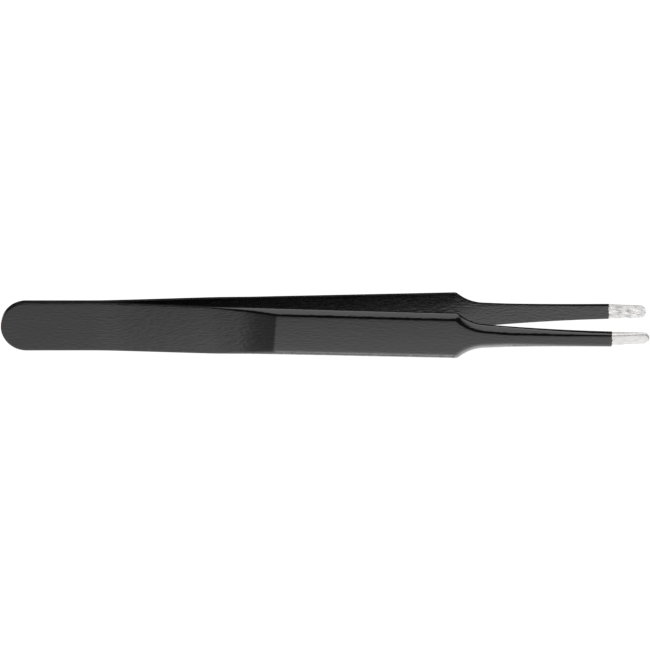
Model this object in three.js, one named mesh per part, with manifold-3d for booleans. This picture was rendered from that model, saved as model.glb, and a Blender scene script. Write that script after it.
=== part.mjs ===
// Precision tweezers, flat round tip pattern, 120 mm long.
//
// Two ground steel arms are spot-welded face to face at the tail and spring apart towards the
// tips. Both are covered with a thin black static-dissipative coating that stops short of the
// bare steel tips.
//
// Frame, in millimetres: +X runs from the tail to the tips, +Z is up across the arms' width, and
// the tweezers stand on the lower edges of both arms. The front arm is on the -Y side and the
// rear arm is its mirror image on the +Y side. The origin is under the middle of the object.
//
// Stations along an arm are distances from the tail end; the last lines move them to the frame.

import * as THREE from "three";
import { mergeVertices } from "three/addons/utils/BufferGeometryUtils.js";
import Module from "manifold-3d";

const wasm = await Module();
wasm.setup();

// ---- Driving dimensions ----

const LENGTH = 120;
const TAIL_HALF_WIDTH = 4.73; // also the radius of the round tail end
const WELD_END = 17; // the arms lie face to face up to here
const THIN_END = 38.6; // the spring leaf keeps its thinnest section up to here
const CREST = 50.9; // end of the concave ground ramp, start of the thick grip
const SHOULDER = 84.6; // the grip's corner, where the shoulder starts
const SHOULDER_HALF_WIDTH = 4.44;
const SHOULDER_RADIUS = 7.9; // concave shoulder arc
const SHOULDER_SLOPE = 0.965; // how steeply the shoulder starts, rise over run
const NOSE_START_SLOPE = 0.08; // taper of the nose per side where the shoulder arc meets it
const NOSE_END = 118.75; // the round tip starts here
const TIP_HALF_WIDTH = 1.24;

const THIN_THICKNESS = 0.8; // coated thickness of one arm in the weld zone and spring leaf
const GRIP_THICKNESS = 1.48;
const NOSE_THICKNESS = 1.56;
const NOSE_THICK_FROM = 90;
const COAT_END = 113.05; // the coating stops here, the rest is bare steel
const TIP_THICKNESS = 0.68;

const GRIP_BEVEL = 0.93; // width of the bevel along the outer face's edges
const WIDEST_BEVEL = 0.95; // around the shoulder
const BEVEL_RISE = 0.66; // bevel depth over bevel width
const NOSE_FACE_HALF_WIDTH = 1.0; // the nose's bevels leave this much of the outer face
const EDGE_BREAK = 0.08; // the smallest bevel, a broken edge

const COAT = 0.08; // coating thickness
const FIT_GAP = 0.02; // clearance between separately modelled touching faces
const STEEL_INSET = COAT + FIT_GAP;

const FLEX_STATION = 30; // where the leaf's bending is gathered into one hinge
const FLEX_GAP = 0.3; // clearance between the solids on the hinge's two sides

const WELD_STATIONS = [4.6, 9.6, 14.6];
const WELD_RADIUS = 1.5;
const WELD_THICKNESS = 0.4;
const WELD_CLEARANCE = 0.05;
const WELD_SIDES = 24;

// The inner face's distance from the middle plane: station, half gap and slope, joined by cubics.
const OPENING_KNOTS = [
  { x: WELD_END, y: 0, slope: 0.02 },
  { x: 24, y: 0.47, slope: 0.09 },
  { x: 36.5, y: 1.64, slope: 0.09 },
  { x: 44, y: 2.25, slope: 0.058 },
  { x: SHOULDER, y: 4.8, slope: 0.06 },
  { x: COAT_END, y: 6.27, slope: 0.035 },
];

// ---- Shape of one arm, as functions of the station ----

function cubicBetween(a, b, x) {
  const span = b.x - a.x;
  const u = (x - a.x) / span;
  const rise = 3 * u ** 2 - 2 * u ** 3;
  return (
    a.y * (1 - rise) +
    b.y * rise +
    span * (a.slope * (u ** 3 - 2 * u ** 2 + u) + b.slope * (u ** 3 - u ** 2))
  );
}

// Half the gap between the arms' inner faces. The bare tips' inner faces are flat.
function halfGap(x) {
  const last = OPENING_KNOTS[OPENING_KNOTS.length - 1];
  if (x <= OPENING_KNOTS[0].x) return 0;
  if (x >= last.x) return last.y + last.slope * (x - last.x);
  const i = OPENING_KNOTS.findIndex((knot) => knot.x >= x);
  return cubicBetween(OPENING_KNOTS[i - 1], OPENING_KNOTS[i], x);
}

// The shoulder arc starts at the grip's corner and ends where its slope meets the nose's taper.
const ARC_START_SIN = Math.sin(Math.atan(SHOULDER_SLOPE));
const ARC_END_SIN = Math.sin(Math.atan(NOSE_START_SLOPE));
const ARC_END = SHOULDER + SHOULDER_RADIUS * (ARC_START_SIN - ARC_END_SIN);
const ARC_CENTRE_X = SHOULDER + SHOULDER_RADIUS * ARC_START_SIN;
const ARC_CENTRE_Z =
  SHOULDER_HALF_WIDTH + SHOULDER_RADIUS * Math.sqrt(1 - ARC_START_SIN ** 2);

function shoulderHalfWidth(x) {
  return ARC_CENTRE_Z - Math.sqrt(SHOULDER_RADIUS ** 2 - (ARC_CENTRE_X - x) ** 2);
}

// Half the width of the outline, taken in by `inset` all round.
function halfWidth(x, inset = 0) {
  const tail = TAIL_HALF_WIDTH;
  if (x < tail) return Math.sqrt(Math.max((tail - inset) ** 2 - (tail - x) ** 2, 0));
  if (x <= WELD_END) return tail - inset;
  if (x <= SHOULDER) {
    const u = (SHOULDER - x) / (SHOULDER - WELD_END);
    return THREE.MathUtils.lerp(SHOULDER_HALF_WIDTH, tail, u ** 1.3) - inset;
  }
  if (x <= ARC_END) return shoulderHalfWidth(x) - inset;
  if (x <= NOSE_END) {
    const u = (NOSE_END - x) / (NOSE_END - ARC_END);
    return THREE.MathUtils.lerp(TIP_HALF_WIDTH, shoulderHalfWidth(ARC_END), u ** 2) - inset;
  }
  const reach = (x - NOSE_END) / (LENGTH - NOSE_END);
  return (TIP_HALF_WIDTH - inset) * Math.sqrt(Math.max(1 - reach ** 2, 0));
}

// Thickness of one coated arm: thin leaf, ramp ground by a wheel, grip, nose, tapered bare tip.
function thickness(x) {
  if (x <= THIN_END) return THIN_THICKNESS;
  if (x <= CREST) {
    const u = (x - THIN_END) / (CREST - THIN_END);
    return THREE.MathUtils.lerp(THIN_THICKNESS, GRIP_THICKNESS, u ** 2);
  }
  if (x <= NOSE_THICK_FROM) {
    const u = (x - CREST) / (NOSE_THICK_FROM - CREST);
    return THREE.MathUtils.lerp(GRIP_THICKNESS, NOSE_THICKNESS, u);
  }
  if (x <= COAT_END) return NOSE_THICKNESS;
  const u = (x - COAT_END) / (LENGTH - COAT_END);
  return THREE.MathUtils.lerp(NOSE_THICKNESS, TIP_THICKNESS, u);
}

// The bevel fades in along the ramp, runs round the shoulder and fades out along the nose.
function bevelWidth(x) {
  if (x <= THIN_END) return EDGE_BREAK;
  if (x <= CREST) {
    const u = (x - THIN_END) / (CREST - THIN_END);
    return THREE.MathUtils.lerp(EDGE_BREAK, GRIP_BEVEL, u ** 1.5);
  }
  if (x <= SHOULDER) return GRIP_BEVEL;
  return THREE.MathUtils.clamp(halfWidth(x) - NOSE_FACE_HALF_WIDTH, EDGE_BREAK, WIDEST_BEVEL);
}

// The section at a station, anticlockwise as [y, z] with +Y outwards and the middle plane at 0.
// `innerInset` is separate because the inner faces are bare steel where the arms are welded.
function section(x, inset, innerInset) {
  const inner = halfGap(x) + innerInset;
  const outer = halfGap(x) + thickness(x) - inset;
  const edge = halfWidth(x, inset);
  const bevel = Math.min(bevelWidth(x), edge / 2);
  const land = outer - bevel * BEVEL_RISE;
  return [
    [inner, -edge],
    [land, -edge],
    [outer, -edge + bevel],
    [outer, edge - bevel],
    [land, edge],
    [inner, edge],
  ];
}

// ---- Solids ----

// Stations between two ends: close together on the curves, few on the straight stretches.
function stations(from, to, inset = 0) {
  const list = [];
  const roundSteps = 14;
  for (let i = 1; i <= roundSteps; i++) {
    const angle = (i / roundSteps) * (Math.PI / 2);
    list.push(TAIL_HALF_WIDTH - (TAIL_HALF_WIDTH - inset) * Math.cos(angle));
    list.push(NOSE_END + (LENGTH - NOSE_END) * Math.sin(angle));
  }
  const spread = (start, end, steps) => {
    for (let i = 0; i <= steps; i++) list.push(start + ((end - start) * i) / steps);
  };
  spread(WELD_END, THIN_END, 10);
  spread(THIN_END, CREST, 10);
  spread(CREST, SHOULDER, 8);
  spread(SHOULDER, ARC_END, 12);
  spread(ARC_END, COAT_END, 10);
  spread(COAT_END, NOSE_END, 3);
  const inside = list.filter((x) => x > from + 0.01 && x < to - 0.01);
  const sorted = [from, ...inside.sort((a, b) => a - b), to];
  return sorted.filter((x, i) => i === 0 || x - sorted[i - 1] > 0.005);
}

// A closed solid through the sections at the given stations; side +1 is the rear arm, -1 the front.
function loft(stationList, sectionAt, side) {
  const rings = stationList.map((x) => sectionAt(x).map(([y, z]) => [x, side * y, z]));
  const count = rings[0].length;
  const positions = rings.flat(2);
  const triangles = [];
  const addTriangle = (a, b, c) => triangles.push(...(side > 0 ? [a, b, c] : [a, c, b]));
  for (let r = 0; r + 1 < rings.length; r++) {
    for (let i = 0; i < count; i++) {
      const next = (i + 1) % count;
      const here = r * count;
      const there = here + count;
      addTriangle(here + i, here + next, there + next);
      addTriangle(here + i, there + next, there + i);
    }
  }
  const lastRing = (rings.length - 1) * count;
  for (let i = 1; i + 1 < count; i++) {
    addTriangle(0, i + 1, i);
    addTriangle(lastRing, lastRing + i, lastRing + i + 1);
  }
  const geometry = new THREE.BufferGeometry();
  geometry.setAttribute("position", new THREE.Float32BufferAttribute(positions, 3));
  geometry.setIndex(triangles);
  return geometry;
}

function solidFrom(geometry) {
  const bare = geometry.clone();
  bare.deleteAttribute("normal");
  bare.deleteAttribute("uv");
  const merged = mergeVertices(bare, 1e-5);
  return new wasm.Manifold(
    new wasm.Mesh({
      numProp: 3,
      vertProperties: merged.attributes.position.array,
      triVerts: new Uint32Array(merged.index.array),
    }),
  );
}

function geometryFrom(solid) {
  const mesh = solid.getMesh();
  const geometry = new THREE.BufferGeometry();
  geometry.setAttribute("position", new THREE.BufferAttribute(mesh.vertProperties, 3));
  geometry.setIndex(new THREE.BufferAttribute(mesh.triVerts, 1));
  return geometry;
}

function subtract(geometry, ...cutters) {
  const cut = cutters.reduce((left, cutter) => left.subtract(solidFrom(cutter)), solidFrom(geometry));
  return geometryFrom(cut);
}

// Flat across the width where the arms are welded, coated on both faces beyond.
const innerInsetOfSteel = (x) => (x <= WELD_END ? FIT_GAP : STEEL_INSET);

const coatedSection = (x) => section(x, 0, 0);
const tailCoatSection = (x) => section(x, 0, x <= WELD_END ? FIT_GAP : 0);
const steelSection = (x) => section(x, STEEL_INSET, innerInsetOfSteel(x));
const coatBoreSection = (x) => section(x, COAT, COAT);
// The weld zone's coating is open towards the middle plane, so its bore runs out past it.
const tailBoreSection = (x) => section(x, COAT, x <= WELD_END ? -1 : COAT);

const TAIL_SOLID_END = FLEX_STATION - FLEX_GAP / 2;
const BLADE_START = FLEX_STATION + FLEX_GAP / 2;
const STEP_PAST = 0.5; // how far a cutting solid runs past the face that it opens
const END_CUT = 0.004; // the round ends stop this short of the point where their width is zero

// The inner face steps from bare to coated at the end of the weld.
function withWeldStep(list) {
  return list.flatMap((x) => (Math.abs(x - WELD_END) < 1e-6 ? [x, x + 0.02] : [x]));
}

function weldDisc(station, radius, depth) {
  const disc = new THREE.CylinderGeometry(radius, radius, depth, WELD_SIDES);
  disc.translate(station, 0, 0);
  return disc;
}

function tailPlate(side) {
  const list = withWeldStep(stations(STEEL_INSET + END_CUT, TAIL_SOLID_END, STEEL_INSET));
  const plate = loft(list, steelSection, side);
  const pockets = WELD_STATIONS.map((station) =>
    weldDisc(station, WELD_RADIUS + WELD_CLEARANCE, WELD_THICKNESS + 2 * WELD_CLEARANCE),
  );
  return subtract(plate, ...pockets);
}

function tailCoating(side) {
  const outside = loft(withWeldStep(stations(END_CUT, TAIL_SOLID_END)), tailCoatSection, side);
  const boreList = withWeldStep(stations(COAT + END_CUT, TAIL_SOLID_END + STEP_PAST, COAT));
  return subtract(outside, loft(boreList, tailBoreSection, side));
}

// The moving length of the arm: spring leaf, grip, nose and bare tip in one piece of steel.
function armBlade(side) {
  return loft(stations(BLADE_START, LENGTH - END_CUT), steelSection, side);
}

function armCoating(side) {
  const outside = loft(stations(BLADE_START, COAT_END), coatedSection, side);
  const boreList = stations(BLADE_START - STEP_PAST, COAT_END + STEP_PAST);
  return subtract(outside, loft(boreList, coatBoreSection, side));
}

// ---- Assembly ----

const steel = () =>
  new THREE.MeshStandardMaterial({ color: 0xc9c9c6, roughness: 0.35, metalness: 1 });
const coating = () =>
  new THREE.MeshStandardMaterial({ color: 0x2b2c2e, roughness: 0.55, metalness: 0 });

const tweezers = new THREE.Group();
tweezers.position.set(-LENGTH / 2, 0, TAIL_HALF_WIDTH);

function add(name, geometry, material) {
  const mesh = new THREE.Mesh(geometry, material);
  mesh.name = name;
  tweezers.add(mesh);
}

for (const [label, side] of [["front", -1], ["rear", 1]]) {
  add(`${label}_tail_plate`, tailPlate(side), steel());
  add(`${label}_tail_coating`, tailCoating(side), coating());
  add(`${label}_arm_blade`, armBlade(side), steel());
  add(`${label}_arm_coating`, armCoating(side), coating());
}

WELD_STATIONS.forEach((station, i) => {
  add(`spot_weld_${i + 1}`, weldDisc(station, WELD_RADIUS, WELD_THICKNESS), steel());
});

export default tweezers;
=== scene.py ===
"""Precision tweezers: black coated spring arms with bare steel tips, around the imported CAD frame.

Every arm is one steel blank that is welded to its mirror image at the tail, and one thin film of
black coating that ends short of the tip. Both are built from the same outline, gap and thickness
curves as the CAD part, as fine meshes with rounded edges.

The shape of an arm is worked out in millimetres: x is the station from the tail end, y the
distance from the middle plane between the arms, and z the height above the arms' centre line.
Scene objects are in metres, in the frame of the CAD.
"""

import math

import bmesh
import bpy
from mathutils import Matrix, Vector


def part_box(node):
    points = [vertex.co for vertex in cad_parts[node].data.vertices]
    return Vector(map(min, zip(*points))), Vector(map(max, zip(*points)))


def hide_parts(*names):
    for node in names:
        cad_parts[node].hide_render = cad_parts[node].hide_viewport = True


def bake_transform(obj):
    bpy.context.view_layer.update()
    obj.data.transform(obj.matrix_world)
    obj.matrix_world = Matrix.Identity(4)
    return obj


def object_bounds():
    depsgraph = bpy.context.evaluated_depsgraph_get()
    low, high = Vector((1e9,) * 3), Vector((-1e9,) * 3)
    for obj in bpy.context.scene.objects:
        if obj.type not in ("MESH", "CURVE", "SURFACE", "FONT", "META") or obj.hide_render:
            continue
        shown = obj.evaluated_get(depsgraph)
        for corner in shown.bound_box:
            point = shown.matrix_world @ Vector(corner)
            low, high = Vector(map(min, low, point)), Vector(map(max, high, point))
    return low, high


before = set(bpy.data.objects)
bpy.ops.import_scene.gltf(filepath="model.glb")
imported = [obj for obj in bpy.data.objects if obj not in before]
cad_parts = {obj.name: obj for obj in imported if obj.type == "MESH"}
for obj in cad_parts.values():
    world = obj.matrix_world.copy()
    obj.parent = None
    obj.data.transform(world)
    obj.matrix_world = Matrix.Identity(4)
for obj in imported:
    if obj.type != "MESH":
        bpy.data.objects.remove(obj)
cad_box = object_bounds()

MM = 0.001
MICRON = 0.000001

# ---- Driving dimensions, in millimetres ----

cad_low, cad_high = cad_box
LENGTH = (cad_high.x - cad_low.x) / MM
TAIL_RADIUS = (cad_high.z - cad_low.z) / 2 / MM
CENTRE_HEIGHT = (cad_high.z + cad_low.z) / 2 / MM
COAT_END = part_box("front_arm_coating")[1].x / MM + LENGTH / 2

WELD_END = 17.0
THIN_END = 38.6
CREST = 50.9
SHOULDER = 84.6
SHOULDER_HALF_WIDTH = 4.44
SHOULDER_RADIUS = 7.9
SHOULDER_SLOPE = 0.965
SHOULDER_FILLET = 0.42
NOSE_START_SLOPE = 0.08
NOSE_END = 118.75
TIP_HALF_WIDTH = 1.24

THIN_THICKNESS = 0.8
GRIP_THICKNESS = 1.48
NOSE_THICKNESS = 1.56
NOSE_THICK_FROM = 90.0
TIP_THICKNESS = 0.68
CREST_SLANT = 0.08
CREST_FILLET = 0.35

GRIP_BEVEL = 0.93
WIDEST_BEVEL = 0.95
BEVEL_RISE = 0.66
NOSE_FACE_HALF_WIDTH = 1.0
EDGE_BREAK = 0.08

FILM = 0.04
STEEL_INSET = 0.05
TIP_RELIEF = 0.05  # the bare tip's inner face falls back this far, so that closed tips just meet

INNER_EDGE_ROUND = 0.03
LAND_EDGE_ROUND = 1.0
FACE_EDGE_ROUND = 1.1
STEEL_ROUND_SHARE = 0.4  # the steel under the film is rounded by this share of the radii
SHARPEST_WEAR = 0.02  # share of the land edge's radius that is left on the thin leaf
MITRE_REACH = 0.7  # the bevels' mitre at the shoulder is spread this far to both sides

# How the stretches curve, as powers of the way along them.
WAIST_POWER = 1.3
NOSE_POWER = 2
RAMP_POWER = 2
BEVEL_POWER = 1.5

# The ground outer faces are very slightly crowned: tilt at their edges in degrees, by station.
CROWN_KNOTS = [(0.0, 0.2), (20.0, 0.7), (50.0, 2.0), (LENGTH, 2.0)]

# Station, half gap and slope of the inner face, joined by cubics.
OPENING_KNOTS = [
    (WELD_END, 0.0, 0.02),
    (24.0, 0.47, 0.09),
    (36.5, 1.64, 0.09),
    (44.0, 2.25, 0.058),
    (SHOULDER, 4.8, 0.06),
    (COAT_END, 6.27, 0.035),
]

# The coating's end wavers over its last stretch: height of each wave, its turn in radians for a
# millimetre of z and of y, and whether it starts differently on the two arms.
RAGGED_REACH = 1.5
RAGGED_WAVES = [(0.045, 2.9, 1.3, 1), (0.03, 7.3, -4.1, 0)]

# ---- Fineness of the meshes ----

EDGE_STEPS = (4, 6, 6)  # segments round the inner, land and face edges
FACE_STEPS = 12  # segments across the outer and the inner face
PROFILE_POINTS = sum(EDGE_STEPS) + len(EDGE_STEPS)
OUTER_TAIL_STEPS = 20
INNER_TAIL_STEPS = 10
STEEL_TAIL_STEPS = 12
TIP_STEPS = 14
RIM_STEPS = 6
INNER_STEP = 1.5
BARE_TIP_STEP = 0.35
LONGEST_CUT = 0.46  # a rounded corner takes at most this share of the sides next to it
WELD_DISTANCE = 0.0005
SLIVER_DISTANCE = 0.0002


# ---- Shape of one arm ----


def lerp(a, b, t):
    return a + (b - a) * t


def clamp(value, low, high):
    return max(low, min(high, value))


def smooth(t):
    t = clamp(t, 0.0, 1.0)
    return t * t * (3 - 2 * t)


def half_gap(x):
    """Distance from the middle plane to the coated inner face."""
    if x <= WELD_END:
        return 0.0
    last_x, last_y, last_slope = OPENING_KNOTS[-1]
    if x >= last_x:
        return last_y + last_slope * (x - last_x)
    for (ax, ay, a_slope), (bx, by, b_slope) in zip(OPENING_KNOTS, OPENING_KNOTS[1:]):
        if x <= bx:
            break
    span = bx - ax
    u = (x - ax) / span
    rise = 3 * u**2 - 2 * u**3
    bend = a_slope * (u**3 - 2 * u**2 + u) + b_slope * (u**3 - u**2)
    return lerp(ay, by, rise) + span * bend


def shoulder_arc():
    """End station and centre of the concave arc between the grip and the nose."""
    start_sine = math.sin(math.atan(SHOULDER_SLOPE))
    end_sine = math.sin(math.atan(NOSE_START_SLOPE))
    end = SHOULDER + SHOULDER_RADIUS * (start_sine - end_sine)
    centre_x = SHOULDER + SHOULDER_RADIUS * start_sine
    centre_z = SHOULDER_HALF_WIDTH + SHOULDER_RADIUS * math.sqrt(1 - start_sine**2)
    return end, centre_x, centre_z


ARC_END, ARC_CENTRE_X, ARC_CENTRE_Z = shoulder_arc()


def arc_half_width(x):
    return ARC_CENTRE_Z - math.sqrt(SHOULDER_RADIUS**2 - (ARC_CENTRE_X - x) ** 2)


def sharp_half_width(x):
    """Half width of the outline between its two round ends, with a sharp shoulder corner."""
    if x <= WELD_END:
        return TAIL_RADIUS
    if x <= SHOULDER:
        u = (SHOULDER - x) / (SHOULDER - WELD_END)
        return lerp(SHOULDER_HALF_WIDTH, TAIL_RADIUS, u**WAIST_POWER)
    if x <= ARC_END:
        return arc_half_width(x)
    u = clamp((NOSE_END - x) / (NOSE_END - ARC_END), 0.0, 1.0)
    return lerp(TIP_HALF_WIDTH, arc_half_width(ARC_END), u**NOSE_POWER)


def half_width(x):
    """The same with the shoulder's corner rounded."""
    t = (x - SHOULDER + SHOULDER_FILLET) / (2 * SHOULDER_FILLET)
    if not 0 < t < 1:
        return sharp_half_width(x)
    before = sharp_half_width(SHOULDER - SHOULDER_FILLET)
    after = sharp_half_width(SHOULDER + SHOULDER_FILLET)
    return (1 - t) ** 2 * before + 2 * t * (1 - t) * SHOULDER_HALF_WIDTH + t**2 * after


RAMP_LENGTH = CREST - THIN_END
CREST_ROUNDING = CREST_FILLET * RAMP_POWER * (GRIP_THICKNESS - THIN_THICKNESS) / RAMP_LENGTH


def thickness(x):
    """Coated thickness: thin leaf, ramp ground by a wheel, grip, nose, tapered bare tip."""
    if x <= THIN_END:
        return THIN_THICKNESS
    ramp = lerp(THIN_THICKNESS, GRIP_THICKNESS, ((x - THIN_END) / RAMP_LENGTH) ** RAMP_POWER)
    flat = lerp(GRIP_THICKNESS, NOSE_THICKNESS, (x - CREST) / (NOSE_THICK_FROM - CREST))
    if x <= CREST + CREST_FILLET:
        # The crest is a little rounded: a smooth minimum of the ramp and the grip.
        share = clamp(0.5 + (flat - ramp) / (2 * CREST_ROUNDING), 0.0, 1.0)
        return lerp(flat, ramp, share) - CREST_ROUNDING * share * (1 - share)
    if x <= NOSE_THICK_FROM:
        return flat
    if x <= COAT_END:
        return NOSE_THICKNESS
    return lerp(NOSE_THICKNESS, TIP_THICKNESS, (x - COAT_END) / (LENGTH - COAT_END))


def inner_height(x, inset):
    """Height of the inner face above the coated one, which grows along the bare tip."""
    return inset + TIP_RELIEF * clamp((x - COAT_END) / (LENGTH - COAT_END), 0.0, 1.0)


def crest_slant(x):
    """How far the ground ramp leans, strongest at its crest and fading out to both sides."""
    return CREST_SLANT * smooth(1 - abs(x - CREST) / RAMP_LENGTH)


def bevel_width(x):
    """The bevel fades in along the ramp, runs round the shoulder and fades out along the nose."""
    if x <= THIN_END:
        return EDGE_BREAK
    if x <= CREST:
        return lerp(EDGE_BREAK, GRIP_BEVEL, ((x - THIN_END) / RAMP_LENGTH) ** BEVEL_POWER)
    if x <= SHOULDER:
        return GRIP_BEVEL
    return clamp(half_width(x) - NOSE_FACE_HALF_WIDTH, EDGE_BREAK, WIDEST_BEVEL)


def wear(x):
    """How far the ground edges are rounded over: hardly on the thin leaf, fully on the grip."""
    return lerp(SHARPEST_WEAR, 1.0, smooth((x - THIN_END) / RAMP_LENGTH))


def crown_drop(x):
    """How far the crowned outer face falls away at its edges."""
    for (ax, a_tilt), (bx, b_tilt) in zip(CROWN_KNOTS, CROWN_KNOTS[1:]):
        if x <= bx:
            break
    tilt = math.radians(lerp(a_tilt, b_tilt, (x - ax) / (bx - ax)))
    return half_width(x) * math.tan(tilt) / 2


# ---- Rings round one arm ----


def edge_point(station):
    """Point on the upper outline and its outward normal: x, z, normal x, normal z.

    A station is a number along the sides, or ("tail", angle) or ("tip", angle) on the round ends,
    with the angle measured from the point of the end.
    """
    if isinstance(station, tuple):
        end, angle = station
        if end == "tail":
            x = TAIL_RADIUS * (1 - math.cos(angle))
            return x, TAIL_RADIUS * math.sin(angle), -math.cos(angle), math.sin(angle)
        reach = LENGTH + STEEL_INSET - NOSE_END
        x = NOSE_END + reach * math.cos(angle)
        z = TIP_HALF_WIDTH * math.sin(angle)
        nx, nz = math.cos(angle) / reach, math.sin(angle) / TIP_HALF_WIDTH
        size = math.hypot(nx, nz)
        return x, z, nx / size, nz / size
    slope = half_width(station + MITRE_REACH) - half_width(station - MITRE_REACH)
    slope /= 2 * MITRE_REACH
    size = math.hypot(slope, 1)
    return station, half_width(station), -slope / size, 1 / size


def round_corner(before, corner, after, radius, steps):
    """Points round a corner of the edge profile, on a curve that leaves both sides smoothly."""
    to_before = (before[0] - corner[0], before[1] - corner[1])
    to_after = (after[0] - corner[0], after[1] - corner[1])
    long_before = math.hypot(*to_before)
    long_after = math.hypot(*to_after)
    cosine = (to_before[0] * to_after[0] + to_before[1] * to_after[1]) / (long_before * long_after)
    turn = math.pi - math.acos(clamp(cosine, -1.0, 1.0))
    leg = radius * math.tan(turn / 2)
    share_before = min(leg / long_before, LONGEST_CUT)
    share_after = min(leg / long_after, LONGEST_CUT)
    start = [corner[i] + to_before[i] * share_before for i in (0, 1)]
    end = [corner[i] + to_after[i] * share_after for i in (0, 1)]
    points = []
    for n in range(steps + 1):
        t = n / steps
        weights = ((1 - t) ** 2, 2 * t * (1 - t), t**2)
        ends = zip(start, corner, end)
        points.append([weights[0] * a + weights[1] * b + weights[2] * c for a, b, c in ends])
    return points


def edge_profile(x, inset, share):
    """(distance in from the outline, height above the coated inner face) from inside to outside."""
    inside = inner_height(x, inset)
    top = thickness(x) - inset
    bevel = bevel_width(x)
    inner_edge = (inset, inside)
    land_edge = (inset, top - bevel * BEVEL_RISE)
    face_edge = (inset + bevel, top)
    on_inner_face = (inset + 1.0, inside)
    on_outer_face = (inset + bevel + 1.0, top)
    inner_steps, land_steps, face_steps = EDGE_STEPS
    inner_radius = INNER_EDGE_ROUND * share
    land_radius = LAND_EDGE_ROUND * share * wear(x)
    face_radius = FACE_EDGE_ROUND * share
    profile = round_corner(on_inner_face, inner_edge, land_edge, inner_radius, inner_steps)
    profile += round_corner(inner_edge, land_edge, face_edge, land_radius, land_steps)
    profile += round_corner(land_edge, face_edge, on_outer_face, face_radius, face_steps)
    return profile


def arm_ring(station, inset, side, share=1.0):
    """One closed ring of points round an arm.

    It goes up the upper edge from the inner face, down across the outer face, round the lower
    edge and back up across the inner face.
    """
    x, z, nx, nz = edge_point(station)
    here = min(x, LENGTH)
    own_thickness = thickness(here)
    drop = crown_drop(here) / own_thickness
    upper = []
    for distance, height in edge_profile(here, inset, share):
        upper.append((x - nx * distance, z - nz * distance, height))
    points = []

    def add(px, pz, height):
        slanted = px + crest_slant(px) * pz
        rise = height * thickness(min(px, LENGTH)) / own_thickness
        rise *= 1 - drop * (pz / half_width(here)) ** 2
        points.append((slanted, side * (half_gap(slanted) + rise), pz))

    for px, pz, height in upper:
        add(px, pz, height)
    px, pz, height = upper[-1]
    for n in range(1, FACE_STEPS):
        add(px, lerp(pz, -pz, n / FACE_STEPS), height)
    for px, pz, height in reversed(upper):
        add(px, -pz, height)
    px, pz, height = upper[0]
    for n in range(1, FACE_STEPS):
        add(px, lerp(-pz, pz, n / FACE_STEPS), height)
    return points


def spread(start, end, step):
    """Even stations from start up to but not including end."""
    count = max(1, round((end - start) / step))
    return [lerp(start, end, n / count) for n in range(count)]


def tail_stations(steps):
    return [("tail", math.pi / 2 * n / steps) for n in range(steps)]


def side_stations(end):
    """Stations along the sides, close together where the shape turns quickly."""
    stretches = [
        (WELD_END - 1, 1.2),
        (CREST - 2, 0.7),
        (CREST - 0.6, 0.2),
        (CREST + 0.6, 0.08),
        (CREST + 2, 0.2),
        (SHOULDER - 2, 1.2),
        (SHOULDER - SHOULDER_FILLET, 0.3),
        (SHOULDER + SHOULDER_FILLET, 0.08),
        (ARC_END + 2, 0.3),
        (end, 0.9),
    ]
    stations = []
    start = TAIL_RADIUS
    for stop, step in stretches:
        stations += spread(start, stop, step)
        start = stop
    return stations


# ---- Meshes ----


def mesh_from_rings(name, rings):
    """A surface through rings of points. Its inner face has the second material."""
    size = len(rings[0])
    vertices = []
    for ring in rings:
        for x, y, z in ring:
            vertices.append(((x - LENGTH / 2) * MM, y * MM, (z + CENTRE_HEIGHT) * MM))
    faces = []
    for r in range(len(rings) - 1):
        for i in range(size):
            j = (i + 1) % size
            faces.append((r * size + i, r * size + j, (r + 1) * size + j, (r + 1) * size + i))
    mesh = bpy.data.meshes.new(name)
    mesh.from_pydata(vertices, [], faces)
    mesh.update()
    first_inside = 2 * PROFILE_POINTS + FACE_STEPS - 2
    for n, face in enumerate(mesh.polygons):
        face.material_index = int(n % size >= first_inside)
    return mesh


def finish_mesh(name, mesh):
    """Welds the points where rings meet themselves at the ends, and shades the mesh smooth."""
    bm = bmesh.new()
    bm.from_mesh(mesh)
    bmesh.ops.remove_doubles(bm, verts=bm.verts, dist=WELD_DISTANCE * MM)
    bmesh.ops.dissolve_degenerate(bm, edges=bm.edges, dist=SLIVER_DISTANCE * MM)
    bmesh.ops.recalc_face_normals(bm, faces=bm.faces)
    for face in bm.faces:
        face.smooth = True
    bm.to_mesh(mesh)
    bm.free()
    piece = bpy.data.objects.new(name, mesh)
    bpy.context.scene.collection.objects.link(piece)
    return piece


def ragged(point, side):
    """Small unevenness of the coating's end, where it was masked by hand."""
    x, y, z = point
    away = smooth(1 - (COAT_END - x) / RAGGED_REACH)
    wave = 0.0
    for height, by_z, by_y, by_side in RAGGED_WAVES:
        wave += height * math.sin(by_z * z + by_y * y + by_side * side)
    return x + away * wave, y, z


def coating_film(name, side):
    """The black film: outer surface, rounded rim and inner surface of one arm."""
    rim_start = COAT_END - FILM
    outer = tail_stations(OUTER_TAIL_STEPS) + side_stations(rim_start)
    rings = [arm_ring(station, 0.0, side) for station in outer]
    for n in range(RIM_STEPS + 1):
        angle = math.pi / 2 * n / RIM_STEPS
        x = rim_start + FILM * math.sin(angle)
        rings.append(arm_ring(x, FILM * (1 - math.cos(angle)), side))
    inner = tail_stations(INNER_TAIL_STEPS) + spread(TAIL_RADIUS, rim_start, INNER_STEP)
    rings += [arm_ring(station, FILM, side) for station in reversed(inner)]
    rings = [[ragged(point, side) for point in ring] for ring in rings]
    return finish_mesh(name, mesh_from_rings(name, rings))


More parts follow.
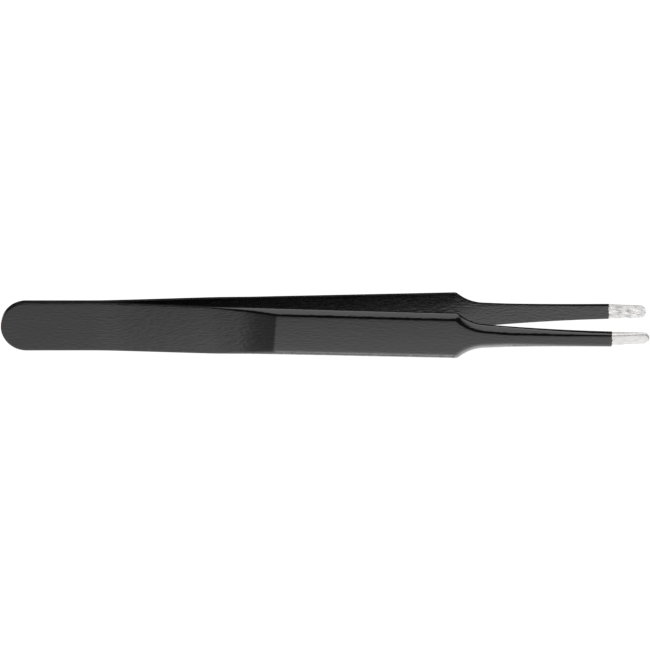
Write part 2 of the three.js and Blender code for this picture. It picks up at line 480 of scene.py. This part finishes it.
def steel_arm(name, side):
    """One steel arm from the round tail to the round bare tip."""
    stations = tail_stations(STEEL_TAIL_STEPS) + side_stations(COAT_END - 1)
    stations += spread(COAT_END - 1, NOSE_END, BARE_TIP_STEP)
    stations += [("tip", math.pi / 2 * (1 - n / TIP_STEPS)) for n in range(TIP_STEPS + 1)]
    rings = [arm_ring(station, STEEL_INSET, side, STEEL_ROUND_SHARE) for station in stations]
    return finish_mesh(name, mesh_from_rings(name, rings))


# ---- Materials ----


class Nodes:
    """Short calls for building a node tree."""

    def __init__(self, tree):
        self.tree = tree
        tree.nodes.clear()

    def add(self, kind, inputs=None, **settings):
        node = self.tree.nodes.new(kind)
        for key, value in settings.items():
            setattr(node, key, value)
        for key, value in (inputs or {}).items():
            if isinstance(value, bpy.types.NodeSocket):
                self.tree.links.new(value, node.inputs[key])
            else:
                node.inputs[key].default_value = value
        return node

    def math(self, operation, *values):
        return self.add("ShaderNodeMath", dict(enumerate(values)), operation=operation).outputs[0]

    def noise(self, place, scale, detail, roughness=0.5):
        """Noise with its own scale along each axis."""
        stretched = self.add("ShaderNodeMapping", {"Vector": place, "Scale": scale}).outputs[0]
        node = self.add(
            "ShaderNodeTexNoise",
            {"Vector": stretched, "Scale": 1.0, "Detail": detail, "Roughness": roughness},
        )
        return node.outputs["Fac"]

    def ramp(self, value, start, end, first, last):
        """Goes from first to last as the value goes from start to end, and no further."""
        node = self.add(
            "ShaderNodeMapRange",
            {"Value": value, "From Min": start, "From Max": end, "To Min": first, "To Max": last},
        )
        return node.outputs[0]

    def colour_mix(self, factor, dark, bright):
        node = self.add("ShaderNodeMix", data_type="RGBA")
        colour_a, colour_b = node.inputs[6], node.inputs[7]
        self.tree.links.new(factor, node.inputs["Factor"])
        colour_a.default_value = (*dark, 1)
        colour_b.default_value = (*bright, 1)
        return node.outputs[2]

    def bump(self, height, distance, **inputs):
        sockets = {"Height": height, "Strength": 1.0, "Distance": distance, **inputs}
        return self.add("ShaderNodeBump", sockets).outputs[0]

    def surface(self, shader):
        self.add("ShaderNodeOutputMaterial", {"Surface": shader.outputs[0]})


def new_material(name):
    material = bpy.data.materials.new(name)
    material.use_nodes = True
    return material, Nodes(material.node_tree)


PEEL_SCALE = (850, 3800, 3800)
WAVE_SCALE = (150, 600, 600)
WAVE_HEIGHT = 6 * MICRON
EPOXY_DARK = (0.002, 0.002, 0.0021)
EPOXY_BRIGHT = (0.0036, 0.0036, 0.0038)


def black_epoxy(name, smoothest, roughest, peel_height):
    """Thin black static-dissipative coating over fine lengthwise grinding marks."""
    material, nodes = new_material(name)
    place = nodes.add("ShaderNodeTexCoord").outputs["Object"]
    peel = nodes.noise(place, PEEL_SCALE, detail=1.0)
    waves = nodes.noise(place, WAVE_SCALE, detail=2.0)
    colour = nodes.colour_mix(nodes.ramp(waves, 0.35, 0.65, 0.0, 1.0), EPOXY_DARK, EPOXY_BRIGHT)
    rough = nodes.ramp(peel, 0.3, 0.7, smoothest, roughest)
    wavy = nodes.bump(waves, WAVE_HEIGHT)
    normal = nodes.bump(peel, peel_height, Normal=wavy)
    shader = nodes.add(
        "ShaderNodeBsdfPrincipled",
        {"Base Color": colour, "Roughness": rough, "Normal": normal, "IOR": 1.52},
    )
    nodes.surface(shader)
    return material


CLOUD_SCALE = (900, 900, 900)
STEEL_ROUGHEST = 0.64
STEEL_SMOOTHEST = 0.54


def bare_steel(name, scratch_scale, scratch_tilt, scratch_height, cloudiness, dark, bright):
    """Satin stainless steel with fine grinding scratches."""
    material, nodes = new_material(name)
    place = nodes.add("ShaderNodeTexCoord").outputs["Object"]
    tilted = nodes.add(
        "ShaderNodeVectorRotate",
        {"Vector": place, "Angle": math.radians(scratch_tilt)},
        rotation_type="Y_AXIS",
    ).outputs[0]
    scratches = nodes.noise(tilted, scratch_scale, detail=4.0, roughness=0.65)
    clouds = nodes.noise(place, CLOUD_SCALE, detail=2.0)
    mixed = nodes.math(
        "ADD",
        nodes.math("MULTIPLY", scratches, 1 - cloudiness),
        nodes.math("MULTIPLY", clouds, cloudiness),
    )
    colour = nodes.colour_mix(nodes.ramp(mixed, 0.36, 0.64, 0.0, 1.0), dark, bright)
    rough = nodes.ramp(mixed, 0.3, 0.7, STEEL_ROUGHEST, STEEL_SMOOTHEST)
    normal = nodes.bump(scratches, scratch_height)
    shader = nodes.add(
        "ShaderNodeBsdfPrincipled",
        {"Base Color": colour, "Roughness": rough, "Normal": normal, "Metallic": 0.95},
    )
    nodes.surface(shader)
    return material


EPOXY = black_epoxy("black_epoxy", smoothest=0.1, roughest=0.16, peel_height=17 * MICRON)
INSIDE_EPOXY = black_epoxy(
    "black_epoxy_inside", smoothest=0.25, roughest=0.33, peel_height=36 * MICRON
)
STEEL = bare_steel(
    "satin_steel",
    scratch_scale=(500, 3000, 6000),
    scratch_tilt=0,
    scratch_height=1.5 * MICRON,
    cloudiness=0.4,
    dark=(0.575, 0.565, 0.562),
    bright=(0.642, 0.63, 0.625),
)
GROUND_STEEL = bare_steel(
    "ground_gripping_face",
    scratch_scale=(600, 2500, 5200),
    scratch_tilt=-12,
    scratch_height=7 * MICRON,
    cloudiness=0.25,
    dark=(0.33, 0.326, 0.325),
    bright=(0.8, 0.788, 0.78),
)


# ---- Pieces ----


def bend_with(piece):
    """Bakes the piece's placement into its mesh."""
    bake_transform(piece)


for label, side in (("front", -1), ("rear", 1)):
    film = coating_film(f"{label}_coating", side)
    film.data.materials.append(EPOXY)
    film.data.materials.append(INSIDE_EPOXY)
    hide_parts(f"{label}_tail_coating", f"{label}_arm_coating")
    bend_with(film)

    blank = steel_arm(f"{label}_steel_arm", side)
    blank.data.materials.append(STEEL)
    blank.data.materials.append(GROUND_STEEL)
    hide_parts(f"{label}_tail_plate", f"{label}_arm_blade")
    bend_with(blank)

for node_name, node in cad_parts.items():
    if node_name.startswith("spot_weld"):
        node.data.materials.clear()
        node.data.materials.append(STEEL)


# ---- Studio, in metres ----

WHITE = (1, 1, 1, 1)
FLOOR_HALF_SIZE = 2.0
FLOOR_GLOW = 1.05
BACKDROP_GLOW = 1.0

# The surrounding light by direction. Heights are sines of the elevation: -1 is straight down.
TABLE_EDGE = -0.12
TABLE_SHOULDER = -0.75
TABLE_MIDDLE = -0.97
TABLE_LIGHT = 3.2
TABLE_MIDDLE_LIGHT = 2.0
CEILING_EDGE = 0.55
CEILING_FULL = 0.68
CEILING_LIGHT = 2.0
WALL_LIGHT = 0.03

# The table is shaded on the tail's side. Sides are cosines of the bearing: -1 is off the tail.
SHADE_EDGE = -0.264
BRIGHT_EDGE = -0.229
FADE_START = -0.2
FADE_END = -0.04
SHADED_SHARE = 0.34
BRIGHT_SHARE = 1.09
FADED_SHARE = 0.84

CARD_HALF_LENGTH = 0.16
CARD_Y = -0.15
CARD_LOW = -0.14
CARD_HIGH = -0.01
CARD_GLOW = [(-0.06, 0.09, 0.55), (0.01, 0.07, 0.27)]  # start, end and height of each rise along x

CAMERA_DISTANCE = 1.15
CAMERA_ELEVATION = math.radians(21.93)
CAMERA_ROLL = math.radians(-0.03)
CAMERA_RISE = 0.054 * MM
CAMERA_SHIFT = 0.13 * MM
FRAMED_WIDTH = 120.6 * MM
SENSOR = 36.0  # millimetres
NEAREST = 0.01
FARTHEST = 20


def stage_card(name, corners, material):
    """A flat card of the studio, which casts no shadow and isn't part of the object."""
    mesh = bpy.data.meshes.new(name)
    mesh.from_pydata(corners, [], [(0, 1, 2, 3)])
    mesh.materials.append(material)
    card = bpy.data.objects.new(name, mesh)
    bpy.context.scene.collection.objects.link(card)
    card.visible_shadow = False
    return card


def make_floor():
    """A plain white light table. It only shows to the camera: the studio light shines through."""
    material, nodes = new_material("light_table")
    nodes.surface(nodes.add("ShaderNodeEmission", {"Color": WHITE, "Strength": FLOOR_GLOW}))
    half = FLOOR_HALF_SIZE
    corners = [(-half, -half, 0), (half, -half, 0), (half, half, 0), (-half, half, 0)]
    floor = stage_card("floor", corners, material)
    floor.visible_diffuse = False
    floor.visible_glossy = False


def make_fill_card():
    """A glowing card low in front. It adds a little light that grows towards the tips."""
    material, nodes = new_material("fill_card")
    place = nodes.add("ShaderNodeTexCoord").outputs["Object"]
    along = nodes.add("ShaderNodeSeparateXYZ", {"Vector": place}).outputs["X"]
    rises = [nodes.ramp(along, start, end, 0.0, height) for start, end, height in CARD_GLOW]
    glow = nodes.math("ADD", *rises)
    light = nodes.add("ShaderNodeEmission", {"Color": WHITE, "Strength": glow})
    clear = nodes.add("ShaderNodeBsdfTransparent")
    nodes.surface(nodes.add("ShaderNodeAddShader", {0: light.outputs[0], 1: clear.outputs[0]}))
    corners = [
        (-CARD_HALF_LENGTH, CARD_Y, CARD_LOW),
        (CARD_HALF_LENGTH, CARD_Y, CARD_LOW),
        (CARD_HALF_LENGTH, CARD_Y, CARD_HIGH),
        (-CARD_HALF_LENGTH, CARD_Y, CARD_HIGH),
    ]
    card = stage_card("fill_card", corners, material)
    card.visible_camera = False


def light_from_below(nodes, direction):
    """The light table, brightest straight below and shaded on the tail's side."""
    along, across, up = (direction.outputs[axis] for axis in "XYZ")
    edge = nodes.ramp(up, TABLE_EDGE, TABLE_SHOULDER, 0.0, TABLE_LIGHT)
    middle = nodes.ramp(up, TABLE_SHOULDER, TABLE_MIDDLE, 0.0, TABLE_MIDDLE_LIGHT)
    squares = [nodes.math("MULTIPLY", part, part) for part in (along, across)]
    bearing = nodes.math("DIVIDE", along, nodes.math("SQRT", nodes.math("ADD", *squares)))
    shade = nodes.ramp(bearing, SHADE_EDGE, BRIGHT_EDGE, SHADED_SHARE, BRIGHT_SHARE)
    fade = nodes.ramp(bearing, FADE_START, FADE_END, 1.0, FADED_SHARE)
    return nodes.math(
        "MULTIPLY", nodes.math("ADD", edge, middle), nodes.math("MULTIPLY", shade, fade)
    )


def make_world():
    """Light table below, soft light overhead, dark walls, and white behind that only shows."""
    world = bpy.data.worlds.new("studio")
    bpy.context.scene.world = world
    world.use_nodes = True
    nodes = Nodes(world.node_tree)
    generated = nodes.add("ShaderNodeTexCoord").outputs["Generated"]
    direction = nodes.add("ShaderNodeSeparateXYZ", {"Vector": generated})
    below = light_from_below(nodes, direction)
    ceiling = nodes.ramp(direction.outputs["Z"], CEILING_EDGE, CEILING_FULL, 0.0, CEILING_LIGHT)
    light = nodes.math("ADD", nodes.math("ADD", below, ceiling), WALL_LIGHT)
    studio = nodes.add("ShaderNodeBackground", {"Color": WHITE, "Strength": light})
    backdrop = nodes.add("ShaderNodeBackground", {"Color": WHITE, "Strength": BACKDROP_GLOW})
    camera_ray = nodes.add("ShaderNodeLightPath").outputs["Is Camera Ray"]
    mixed = nodes.add(
        "ShaderNodeMixShader",
        {0: camera_ray, 1: studio.outputs[0], 2: backdrop.outputs[0]},
    )
    nodes.add("ShaderNodeOutputWorld", {"Surface": mixed.outputs[0]})


def make_camera():
    """A long lens in front of the tweezers, looking down at them."""
    data = bpy.data.cameras.new("camera")
    data.sensor_width = SENSOR
    data.lens = SENSOR * CAMERA_DISTANCE / FRAMED_WIDTH
    data.clip_start = NEAREST
    data.clip_end = FARTHEST
    camera = bpy.data.objects.new("camera", data)
    bpy.context.scene.collection.objects.link(camera)
    aim_z = CENTRE_HEIGHT * MM + CAMERA_RISE
    camera.location = (
        CAMERA_SHIFT,
        -CAMERA_DISTANCE * math.cos(CAMERA_ELEVATION),
        aim_z + CAMERA_DISTANCE * math.sin(CAMERA_ELEVATION),
    )
    tilt = Matrix.Rotation(math.pi / 2 - CAMERA_ELEVATION, 3, "X")
    roll = Matrix.Rotation(CAMERA_ROLL, 3, "Z")
    camera.rotation_euler = (tilt @ roll).to_euler()
    bpy.context.scene.camera = camera


make_floor()
make_fill_card()
make_world()
make_camera()
bpy.context.scene.view_settings.view_transform = "Standard"
